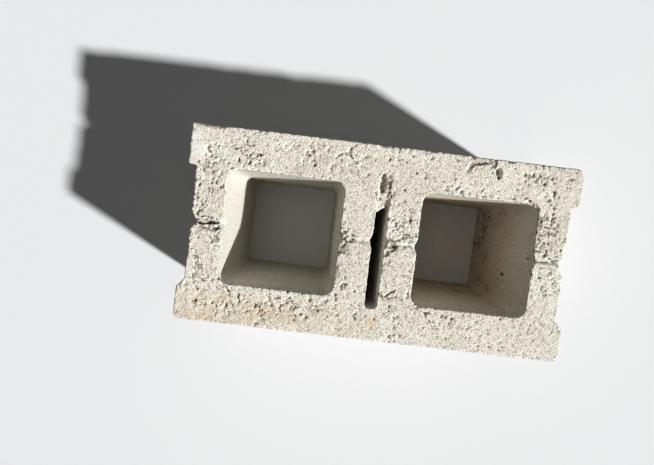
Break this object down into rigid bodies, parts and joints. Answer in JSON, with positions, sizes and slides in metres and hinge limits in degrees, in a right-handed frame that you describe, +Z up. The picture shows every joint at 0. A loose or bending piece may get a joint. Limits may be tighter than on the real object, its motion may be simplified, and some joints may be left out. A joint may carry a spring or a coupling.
{
  "type": "concrete block",
  "caption": "Hollow concrete masonry block with two drafted cores, recessed ends and a splitting slot in its centre web.",
  "frame": {"origin": "middle of the face that the block rests on, at the foot of its centre web", "axes": "+X along the block's length, +Y across it towards the caved-in end of the slot, +Z up along the cores, towards their wide mouths"},
  "size_m": [0.4, 0.2, 0.2],
  "materials": {
    "concrete": "rough dry-cast concrete"
  },
  "bodies": {
    "root": {"block": "concrete"}
  },
  "joints": []
}
